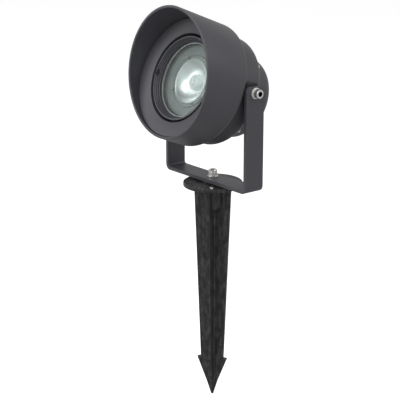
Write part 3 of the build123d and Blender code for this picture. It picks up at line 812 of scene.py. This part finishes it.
class PROJECTOR_OT_spike(bpy.types.Operator):
    """Mould the ground spike: flange, boss, four tapering fins, barbs and point"""
    bl_idname = "projector.spike"
    bl_label = "Ground Spike"

    barb_zone = -150 * mm  # the necks above the barbs are lower than this
    fin_half = 2.0 * mm
    tip_length = 18.0 * mm
    tip_reach = 1.2 * mm
    flange_round = 1.2 * mm
    boss_outline = (  # radius and height
        (3.8 * mm, -34.0 * mm), (10.4 * mm, -26.0 * mm), (11.0 * mm, -25.0 * mm),
        (11.0 * mm, 1.0 * mm))

    def execute(self, context):
        points = [vertex.co for vertex in frame["nodes"]["stake"].data.vertices]
        lowest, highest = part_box("stake")
        flange = highest.x
        under_flange = [off_axis(point) for point in points if abs(point.z) < NEAR]
        fin_top = max(radius for radius in under_flange if radius < 0.8 * flange)
        low = [point for point in points if point.z < self.barb_zone]
        barb = max(low, key=off_axis)
        barb_reach = off_axis(barb)
        neck_level = max(point.z for point in low)
        neck = max(off_axis(point) for point in points if abs(point.z - neck_level) < NEAR)
        tip_slope = (barb_reach - self.tip_reach) / (barb.z - lowest.z)
        fins = self.fins([
            (0.2 * mm, fin_top),
            (neck_level, neck),
            (barb.z, barb_reach),
            (lowest.z + self.tip_length,
             self.tip_reach + tip_slope * self.tip_length - self.fin_half / 2),
        ], self.fin_half, context.scene.projector_sizes.fin_root)
        self.point(fins, lowest.z, self.tip_reach)
        spin(fins, atan2(barb.y, barb.x))
        boss = rings([(SMALL_STEPS, *spot) for spot in self.boss_outline])
        disc = lathe([(0, 0), (flange, 0), (flange, highest.z), (0, highest.z)])
        round_rims(disc, *((flange, level, self.flange_round, 4) for level in (0, highest.z)))
        whole = combine(combine(fins, boss), disc)
        piece(whole, "spike_moulding", "spike", "black_moulded_plastic", ["stake"],
              soften=0.3 * mm, flat_above=FLAT_AREA)
        return {"FINISHED"}

    @staticmethod
    def fins(levels, half, root):
        """A cross that is drawn down through (height, reach) levels."""
        height, reach_now = levels[0]
        mesh = bmesh.new()
        outline = []
        for quarter in range(4):
            turn = Matrix.Rotation(quarter * pi / 2, 3, "Z")
            for across, along in ((half, -half), (reach_now, -half), (reach_now, half)):
                outline.append(mesh.verts.new(turn @ Vector((across, along, height))))
        mesh.faces.new(outline)
        roots = [vertex for vertex in mesh.verts
                 if abs(abs(vertex.co.x) - abs(vertex.co.y)) < NEAR]
        bmesh.ops.bevel(mesh, geom=roots, offset=root, segments=4, profile=0.5,
                        affect="VERTICES", material=-1)
        face = mesh.faces[:][0]
        for next_height, next_reach in levels[1:]:
            face, verts = pull(mesh, face, (0, 0, next_height - height))
            share = next_reach / reach_now
            ends = [vertex for vertex in verts
                    if max(abs(vertex.co.x), abs(vertex.co.y)) > 0.95 * reach_now]
            along_x = [vertex for vertex in ends if abs(vertex.co.x) > abs(vertex.co.y)]
            along_y = [vertex for vertex in ends if abs(vertex.co.x) < abs(vertex.co.y)]
            bmesh.ops.scale(mesh, vec=(share, 1, 1), verts=along_x)
            bmesh.ops.scale(mesh, vec=(1, share, 1), verts=along_y)
            height, reach_now = next_height, next_reach
        clean(mesh)
        return mesh

    @staticmethod
    def point(mesh, tip, tip_reach):
        """Draw the lowest face down to a blunt point."""
        face = min(mesh.faces, key=lambda face: max(vertex.co.z for vertex in face.verts))
        share = tip_reach / max(off_axis(vertex.co) for vertex in face.verts)
        _, verts = pull(mesh, face, (0, 0, tip - face.verts[0].co.z))
        bmesh.ops.scale(mesh, vec=(share, share, 1), verts=verts)
        clean(mesh)


class PROJECTOR_OT_fasteners(bpy.types.Operator):
    """Make the screws that show: pivot, base bolt, flange, cover, bezel and reflector screws"""
    bl_idname = "projector.fasteners"
    bl_label = "Fasteners"

    washer_bore = 3.2 * mm
    washer_round = 0.2 * mm
    split_width = 0.8 * mm
    split_slant = radians(35)
    split_turn = radians(-30)

    def execute(self, context):
        ridges = context.scene.projector_sizes.knurls
        self.pivot_screws(ridges)
        self.base_bolt(ridges)
        self.flange_screws()
        self.turned("bezel_screws", "bezel_screw_heads", 1, "blackened_steel")
        self.turned("reflector_screws", "reflector_screw_heads", 1, "blackened_steel")
        self.turned("rear_cover_screws", "cover_screw_heads", -1, "stainless_steel")
        return {"FINISHED"}

    def pivot_screws(self, ridges):
        mesh = bmesh.new()
        for group in islands("pivot_screws"):
            side = 1 if group[0].x > 0 else -1
            seat, head = head_seat(
                group, lambda spot: abs(spot.x), lambda spot: hypot(spot.y, spot.z - PIVOT.z))
            outer = max(abs(spot.x) for spot in group)
            inner = min(abs(spot.x) for spot in group)
            place = Matrix.Translation((side * seat, 0, PIVOT.z)) @ quarter_turn(side)
            screw(mesh, place, M6_SHANK, head, outer - seat, M6_KEY, M6_KEY_DEPTH, seat - inner,
                  ridges)
        piece(mesh, "pivot_socket_screws", "lamp", "stainless_steel", ["pivot_screws"])
        turn = Matrix.Translation((0, 0, PIVOT.z)) @ quarter_turn()
        self.washers("pivot_flat_washers", "lamp", turn)
        self.washers("pivot_spring_washers", "lamp", turn, split=True)

    def base_bolt(self, ridges):
        lowest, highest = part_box("stake_bolt")
        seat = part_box("stake_spring_washer")[1].z
        mesh = bmesh.new()
        screw(mesh, Matrix.Translation((0, 0, seat)), M6_SHANK, highest.x, highest.z - seat,
              M6_KEY, M6_KEY_DEPTH, seat - lowest.z, ridges)
        piece(mesh, "base_socket_bolt", "spike", "stainless_steel", ["stake_bolt"])
        self.washers("stake_washer", "spike", Matrix())
        self.washers("stake_spring_washer", "spike", Matrix(), split=True)

    def washers(self, node, body, turn, split=False):
        """The washers of a node, whose axis is Z once it is turned back."""
        whole = None
        for group in islands(node):
            local = [turn.inverted() @ spot for spot in group]
            outer = max(off_axis(spot) for spot in local)
            bottom = min(spot.z for spot in local)
            top = max(spot.z for spot in local)
            bore = self.washer_bore
            mesh = lathe([(bore, bottom), (outer, bottom), (outer, top), (bore, top)], 64)
            round_edges(mesh, rim(mesh, outer, top) + rim(mesh, outer, bottom),
                        self.washer_round, 3)
            if split:
                gap = bmesh.new()
                bmesh.ops.create_cube(gap, size=1.0)
                bmesh.ops.scale(gap, vec=(outer, self.split_width, 4 * mm), verts=gap.verts)
                spin(gap, self.split_slant, "X")
                bmesh.ops.translate(gap, vec=(0.75 * outer, 0, (bottom + top) / 2), verts=gap.verts)
                spin(gap, self.split_turn)
                mesh = combine(mesh, gap, "DIFFERENCE")
            whole = combine(whole, mesh) if whole else mesh
        piece(whole, node + "_turned", body, "stainless_steel", [node], turn)

    @staticmethod
    def flange_screws():
        shank, key, key_depth = 1.2 * mm, 1.0 * mm, 0.7 * mm
        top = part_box("stake")[1].z
        mesh = bmesh.new()
        for group in islands("flange_screws"):
            lowest = min(spot.z for spot in group)
            highest = max(spot.z for spot in group)
            centre = Vector((*middle(group), top))
            head = max(off_axis(spot - centre) for spot in group)
            screw(mesh, Matrix.Translation(centre), shank, head, highest - top, key, key_depth,
                  top - lowest)
        piece(mesh, "flange_screw_heads", "spike", "stainless_steel", ["flange_screws"])

    @staticmethod
    def turned(node, name, facing, slot):
        """The lamp's own screws, each where its CAD solid is."""
        mesh = bmesh.new()
        for group in islands(node):
            local = [LAMP_INVERSE @ spot for spot in group]
            across, above = middle(local)
            seat, head = head_seat(
                local, lambda spot: facing * spot.z,
                lambda spot: hypot(spot.x - across, spot.y - above))
            height = max(facing * spot.z for spot in local) - seat
            length = seat - min(facing * spot.z for spot in local)
            place = lamp_seat(atan2(above, across), hypot(across, above), facing * seat, facing)
            screw(mesh, place, 0.6 * head, head, height, 0.43 * head, 0.45 * height, length)
        piece(mesh, name, "lamp", slot, [node])


class PROJECTOR_OT_yoke(bpy.types.Operator):
    """Bend the flat bar of the yoke, with rounded arm ends"""
    bl_idname = "projector.yoke"
    bl_label = "Yoke"

    bend = 3.0 * mm  # inside radius
    bend_steps = 12
    corner = 5.5 * mm
    corner_steps = 10

    def execute(self, context):
        lowest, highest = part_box("yoke")
        half_width = highest.x
        half_strap = highest.y
        thickness = half_width - min(
            abs(vertex.co.x) for vertex in frame["nodes"]["yoke"].data.vertices
            if vertex.co.z > PIVOT.z)
        top = lowest.z + thickness
        run = half_width - thickness - self.bend
        mesh = bmesh.new()
        start = mesh.faces.new([mesh.verts.new((0, along, height)) for along, height in (
            (-half_strap, lowest.z), (half_strap, lowest.z),
            (half_strap, top), (-half_strap, top))])
        face, _ = pull(mesh, start, (run, 0, 0))
        turned = bmesh.ops.spin(
            mesh, geom=[face], cent=(run, 0, top + self.bend), axis=(0, -1, 0), dvec=(0, 0, 0),
            angle=pi / 2, steps=self.bend_steps, use_merge=False, use_duplicate=False)["geom_last"]
        face = next(item for item in turned if isinstance(item, bmesh.types.BMFace))
        rise = highest.z - self.corner - face.verts[0].co.z
        face, _ = pull(mesh, face, (0, 0, rise))
        self.round_end(mesh, face, half_strap)
        inner = [face for face in mesh.faces
                 if all(abs(vertex.co.x) < MERGE_DISTANCE / 20 for vertex in face.verts)]
        bmesh.ops.delete(mesh, geom=inner, context="FACES_ONLY")
        bmesh.ops.mirror(mesh, geom=mesh.verts[:] + mesh.edges[:] + mesh.faces[:], axis="X",
                         merge_dist=MERGE_DISTANCE)
        clean(mesh)
        sharp = [edge for edge in mesh.edges if edge.calc_face_angle(0) > radians(60)]
        round_edges(mesh, sharp, context.scene.projector_sizes.strap_round, 4)
        clean(mesh)
        mesh = bored(mesh, M6_HOLE, -half_width * 2, half_width * 2,
                     Matrix.Translation((0, 0, PIVOT.z)) @ quarter_turn())
        mesh = bored(mesh, M6_HOLE, 0.0, lowest.z * 4)
        piece(mesh, "yoke_strap", "yoke", "grey_powder_coat", ["yoke"], flat_above=FLAT_AREA)
        return {"FINISHED"}

    def round_end(self, mesh, face, half_strap):
        """Draw an arm's end up and in, so that its two corners are round."""
        width = half_strap
        for step in range(1, self.corner_steps + 1):
            turn = step / self.corner_steps * pi / 2
            back = (step - 1) / self.corner_steps * pi / 2
            face, verts = pull(mesh, face, (0, 0, self.corner * (sin(turn) - sin(back))))
            next_width = half_strap - self.corner * (1 - cos(turn))
            bmesh.ops.scale(mesh, vec=(1, next_width / width, 1), verts=verts)
            width = next_width


class PROJECTOR_OT_hood(bpy.types.Operator):
    """Turn the glare hood and cut its slanted mouth"""
    bl_idname = "projector.hood"
    bl_label = "Glare Hood"

    shoulder = 6.0 * mm

    def execute(self, context):
        back, front = span("hood")
        bore, outer = reach("hood")
        inner = reach("hood", beyond=back + 20 * mm)[0]
        wall = outer - inner
        blank = front + 10 * mm
        mesh = lathe([
            (bore, back), (outer, back), (outer, blank), (inner, blank), (inner, back + wall),
            (bore, back + wall)])
        round_rims(mesh, (outer, back, self.shoulder, 10),
                   (inner, back + wall, self.shoulder - wall, 6))
        highest, lowest = mouth_slant()
        slope = atan2(highest - lowest, 2 * outer)
        bmesh.ops.bisect_plane(
            mesh, geom=mesh.verts[:] + mesh.edges[:] + mesh.faces[:], dist=MERGE_DISTANCE,
            plane_co=(0, 0, (highest + lowest) / 2), plane_no=(0, -sin(slope), cos(slope)),
            clear_outer=True)
        open_edges = [edge for edge in mesh.edges if edge.is_boundary]
        bmesh.ops.bridge_loops(mesh, edges=open_edges)
        clean(mesh)
        mouth = [edge for edge in open_edges if edge.is_valid]
        round_edges(mesh, mouth, context.scene.projector_sizes.rim_round, 4)
        casting(mesh, "glare_hood", "hood")
        return {"FINISHED"}


class PROJECTOR_OT_drum(bpy.types.Operator):
    """Turn the front drum inside the hood, with the pocket for the glass"""
    bl_idname = "projector.drum"
    bl_label = "Front Drum"

    wall = 3.0 * mm
    outer_round = 1.2 * mm

    def execute(self, context):
        back, front = span("front_drum")
        bore_back, outer = reach("front_drum")
        ledge = span("glass_gasket")[0]
        bore = reach("glass_gasket")[0]
        floor = span("optic_plate")[0]
        mouth, lip = min(spot for spot in corners("front_drum") if spot[1] > ledge + 8 * mm)
        wall = self.wall
        pocket = lip - wall
        mesh = lathe([
            (bore_back, back), (mouth + wall, back), (mouth + wall, pocket), (outer - wall, pocket),
            (outer - wall, back), (outer, back), (outer, front), (mouth, lip), (mouth, ledge),
            (bore, ledge), (bore, floor), (bore_back, floor)])
        round_rims(mesh, (outer, front, self.outer_round, 4),
                   (mouth, lip, context.scene.projector_sizes.edge_round, 3))
        casting(mesh, "front_drum_casting", "front_drum")
        return {"FINISHED"}


class PROJECTOR_OT_bezel(bpy.types.Operator):
    """Turn the stepped bezel that holds the glass, with its two screw ears"""
    bl_idname = "projector.bezel"
    bl_label = "Bezel"

    steps = 4
    outer = 47.6 * mm
    land = 1.9 * mm
    step_round = 0.25 * mm
    ear_width = 9 * mm
    ear_round = 1.2 * mm
    head_pocket = 2.9 * mm  # radius

    def execute(self, context):
        back, front = span("bezel_ring")
        opening, ear_reach = reach("bezel_ring")
        skirt = reach("front_glass")[1] + 0.2 * mm
        glass = span("front_glass")[1]
        rise = (front - glass) / self.steps
        run = (self.outer - self.land - opening) / self.steps
        outline = [(opening, glass), (skirt, glass), (skirt, back), (self.outer, back),
                   (self.outer, front)]
        crests = []
        for step in range(self.steps):
            radius = self.outer - self.land - step * run
            height = front - step * rise
            outline += [(radius, height), (radius, height - 0.6 * rise)]
            crests.append((radius, height, self.step_round, 2))
        outline.append((opening, glass + 0.4 * rise))
        mesh = lathe(outline)
        round_rims(mesh, (self.outer, front, context.scene.projector_sizes.edge_round, 3), *crests)
        ear_top = min(station for radius, station in corners("bezel_ring")
                      if radius > ear_reach - mm and station > back + 5 * mm)
        seats = [sum((LAMP_INVERSE @ spot for spot in group), Vector()) / len(group)
                 for group in islands("bezel_screws")]
        for seat in seats:
            mesh = combine(mesh, self.ear(atan2(seat.y, seat.x), skirt, ear_reach, back, ear_top))
        for seat in seats:
            mesh = bored(mesh, self.head_pocket, 0.0, 4 * mm,
                         Matrix.Translation((seat.x, seat.y, ear_top - 0.01 * mm)))
        casting(mesh, "glass_bezel", "bezel_ring")
        return {"FINISHED"}

    def ear(self, turn, start, end, back, front):
        """A block with rounded corners that stands out from the bezel."""
        mesh = bmesh.new()
        bmesh.ops.create_cube(mesh, size=1.0)
        bmesh.ops.scale(mesh, vec=(end - start, self.ear_width, front - back), verts=mesh.verts)
        bmesh.ops.translate(mesh, vec=((end + start) / 2, 0, (front + back) / 2), verts=mesh.verts)
        outward = [edge for edge in mesh.edges
                   if all(vertex.co.x > start + mm for vertex in edge.verts)
                   and abs(edge.verts[0].co.y - edge.verts[1].co.y) < MERGE_DISTANCE]
        round_edges(mesh, outward, self.ear_round, 4)
        spin(mesh, turn)
        return mesh


class PROJECTOR_OT_glass(bpy.types.Operator):
    """Grind the front glass"""
    bl_idname = "projector.glass"
    bl_label = "Front Glass"

    ground = 0.5 * mm

    def execute(self, context):
        back, front = span("front_glass")
        radius = reach("front_glass")[1]
        mesh = lathe([(0, back), (radius, back), (radius, front), (0, front)])
        round_rims(mesh, *((radius, station, self.ground, 4) for station in (back, front)))
        piece(mesh, "front_glass_disc", "lamp", "tempered_glass", ["front_glass"], LAMP)
        return {"FINISHED"}


class PROJECTOR_OT_optics(bpy.types.Operator):
    """Form the metallised bowl, the frosted lens and the plate round them"""
    bl_idname = "projector.optics"
    bl_label = "Optics"

    bowl_depth = 10.0 * mm
    bowl_steps = 18
    bowl_power = 2.6
    bowl_wall = 1.2 * mm
    lens_dome = 4.0 * mm
    lens_power = 2.2
    lens_steps = 24
    lens_groove = 0.9 * mm  # its depth and half its width
    chip_room = (6.4 * mm, 1.5 * mm)  # radius and depth
    plate_thickness = 1.5 * mm
    post_ring = 33 * mm

    def execute(self, context):
        self.bowl()
        self.lens()
        self.plate()
        return {"FINISHED"}

    def bowl(self):
        """The reflector: a bowl that steepens outwards, its rim and its throat."""
        back, front = span("reflector")
        throat, rim_radius = reach("reflector")
        wall = self.bowl_wall
        base = front - self.bowl_depth
        curve = []
        for step in range(self.bowl_steps + 1):
            share = step / self.bowl_steps
            curve.append((throat + share * (BOWL_MOUTH - throat),
                          base + (front - base) * share ** self.bowl_power))
        under = [(radius + wall * 0.7, station - wall) for radius, station in reversed(curve)]
        mesh = lathe(curve + [(rim_radius, front), (rim_radius, front - wall)] + under
                     + [(throat + wall * 0.7, back), (throat, back)])
        round_rims(mesh, (BOWL_MOUTH, front, 0.5 * mm, 4), (rim_radius, front, 0.3 * mm, 3))
        piece(mesh, "reflector_bowl", "lamp", "metallised_reflector", ["reflector"], LAMP, angle=50)

    def lens(self):
        """The frosted lens: a dome with a groove round its bright centre."""
        back, front = span("led_lens")
        radius = reach("led_lens")[1]
        groove = 0.56 * radius
        curve = []
        for step in range(self.lens_steps + 1):
            across = radius * (1 - step / self.lens_steps)
            height = front - self.lens_dome * (across / radius) ** self.lens_power
            nearness = max(0.0, 1 - abs(across - groove) / self.lens_groove)
            curve.append((across, height - self.lens_groove * nearness ** 0.8))
        chip, depth = self.chip_room
        under = [(0, back + depth), (chip, back + depth), (chip, back), (radius, back)]
        mesh = lathe(under + curve)
        piece(mesh, "frosted_lens", "lamp", "clear_lens", ["led_lens"], LAMP, angle=60)

    def plate(self):
        """The pale plate on its four posts."""
        back, front = span("optic_plate")
        inner, outer = reach("optic_plate", beyond=front - mm)
        under = front - self.plate_thickness
        mesh = lathe([(inner, under), (outer, under), (outer, front), (inner, front)])
        round_edges(mesh, rim(mesh, outer, front) + rim(mesh, inner, front), 0.4 * mm, 3)
        for quarter in range(4):
            spot = (Matrix.Rotation(quarter * pi / 2, 4, "Z")
                    @ Matrix.Translation((self.post_ring, 0, 0)))
            mesh = combine(mesh, rings([
                (24, 2.4 * mm, back), (24, 2.0 * mm, back + mm), (24, 2.0 * mm, under + mm / 2),
            ], spot))
        piece(mesh, "optic_plate_pressing", "lamp", "pale_plate", ["optic_plate"], LAMP)


class PROJECTOR_OT_neck(bpy.types.Operator):
    """Turn the neck ring with its two pivot bosses"""
    bl_idname = "projector.neck"
    bl_label = "Neck Ring"

    outer = 62.3 * mm
    bore = 46.0 * mm
    web_depth = 6.6 * mm
    groove = (2.5 * mm, 0.7 * mm)  # the dark gap behind the hood: inwards and backwards
    back_round = 8.5 * mm
    boss_start = 50 * mm
    boss_edge = 0.7 * mm

    def execute(self, context):
        back, front = span("neck_ring")
        boss_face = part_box("neck_ring")[1].x
        outer, bore, edge = self.outer, self.bore, self.boss_edge
        web = front - self.web_depth
        shoulder = front - self.groove[1]
        floor = outer - self.groove[0]
        mesh = lathe([
            (0, web), (bore, web), (bore, back), (outer, back), (outer, shoulder),
            (floor, shoulder), (floor, front), (0, front)])
        round_rims(mesh, (outer, back, self.back_round, 12), (outer, shoulder, 0.4 * mm, 3),
                   (bore, web, 3.0 * mm, 5))
        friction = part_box("friction_washers")
        radius = (friction[1].z - friction[0].z) / 2
        for side in (1, -1):
            mesh = combine(mesh, rings([
                (64, radius, self.boss_start), (64, radius, boss_face - edge),
                (64, radius - edge * 0.3, boss_face - edge * 0.3), (64, radius - edge, boss_face),
            ], Matrix.Translation(PIVOT_IN_LAMP) @ quarter_turn(side)))
        casting(mesh, "neck_ring_casting", "neck_ring", soften=0.3 * mm)
        return {"FINISHED"}


class PROJECTOR_OT_rear_cover(bpy.types.Operator):
    """Turn the domed rear cover and its screw flange"""
    bl_idname = "projector.rear_cover"
    bl_label = "Rear Cover"

    wall = 3.0 * mm
    dome = 14.0 * mm

    def execute(self, context):
        back, front = span("rear_cover")
        bore, flange = reach("rear_cover")
        outer = reach("rear_cover", behind=front - 4 * mm)[1]
        wall, dome = self.wall, self.dome
        mesh = lathe([
            (bore, back), (outer, back), (outer, front - wall), (flange, front - wall),
            (flange, front), (outer - wall, front), (outer - wall, back + wall),
            (bore, back + wall)])
        round_rims(
            mesh, (outer, back, dome, 12), (outer - wall, back + wall, dome - wall, 8),
            (flange, front - wall, 0.8 * mm, 4), (flange, front, 0.3 * mm, 2),
            (outer, front - wall, 1.2 * mm, 5))
        casting(mesh, "rear_cover_casting", "rear_cover")
        return {"FINISHED"}


class PROJECTOR_OT_gland(bpy.types.Operator):
    """Make the cable gland: hexagonal collar and ribbed dome nut"""
    bl_idname = "projector.gland"
    bl_label = "Cable Gland"

    collar = 4.0 * mm
    thread = 8.0 * mm
    spigot = 7.5 * mm
    seal_room = 7.55 * mm
    ribs = 18

    def execute(self, context):
        self.body()
        self.nut()
        return {"FINISHED"}

    def body(self):
        back, front = span("gland_body")
        way, hexagon = reach("gland_body")
        cover = span("rear_cover")[0]
        mesh = rings([
            (SMALL_STEPS, self.spigot, back), (SMALL_STEPS, self.spigot, cover - self.collar),
            (6, hexagon, cover - self.collar), (6, hexagon, cover),
            (SMALL_STEPS, self.thread, cover), (SMALL_STEPS, self.thread, front)])
        mesh = bored(mesh, way, back - mm, front + mm)
        mesh = bored(mesh, reach("gland_seal")[1], back - mm, span("gland_seal")[1])
        piece(mesh, "gland_collar", "lamp", "black_nylon", ["gland_body"], LAMP, soften=0.3 * mm)

    def nut(self):
        back, front = span("gland_nut")
        way, outer = reach("gland_nut")
        skirt = front - 0.35 * (front - back)
        mesh = rings([(2 * self.ribs, share * outer, *rest) for share, *rest in (
            (0.62, back), (0.80, back + 0.35 * mm), (0.93, back + 1.6 * mm),
            (0.98, back + 3.2 * mm, 0.97), (1, back + 4.2 * mm, 0.93), (1, skirt, 0.93),
            (1, front - 0.6 * mm, 0.93), (0.92, front))])
        mesh = bored(mesh, way, back - mm, front)
        mesh = bored(mesh, self.seal_room, span("gland_seal")[0], front + mm)
        piece(mesh, "gland_dome_nut", "lamp", "black_nylon", ["gland_nut"], LAMP, soften=0.15 * mm)


class PROJECTOR_OT_carried_finishes(bpy.types.Operator):
    """Give every piece that stays as it was designed the finish of its slot"""
    bl_idname = "projector.carried_finishes"
    bl_label = "Finishes of the Other Pieces"

    def execute(self, context):
        for entry in frame["record"]["subparts"]:
            node = frame["nodes"][entry["node"]]
            if node.hide_render:
                continue
            node.data.materials.clear()
            node.data.materials.append(finish_for(entry["material_slot"]))
        return {"FINISHED"}


class PROJECTOR_PT_panel(bpy.types.Panel):
    """The pieces of the projector stake, in the order that they are made"""
    bl_idname = "PROJECTOR_PT_panel"
    bl_label = "Light Projector Stake"
    bl_space_type = "VIEW_3D"
    bl_region_type = "UI"
    bl_category = "Projector"

    def draw(self, context):
        for group in (context.scene.projector_sizes, context.scene.projector_colours,
                      context.scene.projector_studio):
            box = self.layout.box()
            for name in group.bl_rna.properties.keys():
                if name not in ("rna_type", "name"):
                    box.prop(group, name)
        for operator in OPERATORS:
            self.layout.operator(operator.bl_idname)


# ---- Registration and the run --------------------------------------------------------------

OPERATORS = (
    PROJECTOR_OT_stage, PROJECTOR_OT_spike, PROJECTOR_OT_fasteners, PROJECTOR_OT_yoke,
    PROJECTOR_OT_hood, PROJECTOR_OT_drum, PROJECTOR_OT_bezel, PROJECTOR_OT_glass,
    PROJECTOR_OT_optics, PROJECTOR_OT_neck, PROJECTOR_OT_rear_cover, PROJECTOR_OT_gland,
    PROJECTOR_OT_carried_finishes,
)
GROUPS = {
    "projector_sizes": ProjectorSizes,
    "projector_colours": ProjectorColours,
    "projector_studio": ProjectorStudio,
}


def register():
    for group in GROUPS.values():
        bpy.utils.register_class(group)
    for name, group in GROUPS.items():
        setattr(bpy.types.Scene, name, PointerProperty(type=group))
    for operator in OPERATORS:
        bpy.utils.register_class(operator)
    bpy.utils.register_class(PROJECTOR_PT_panel)


def unregister():
    bpy.utils.unregister_class(PROJECTOR_PT_panel)
    for operator in reversed(OPERATORS):
        bpy.utils.unregister_class(operator)
    for name, group in GROUPS.items():
        delattr(bpy.types.Scene, name)
        bpy.utils.unregister_class(group)


def main():
    register()
    for operator in OPERATORS:
        getattr(bpy.ops.projector, operator.bl_idname.split(".")[1])()


if __name__ == "__main__":
    main()
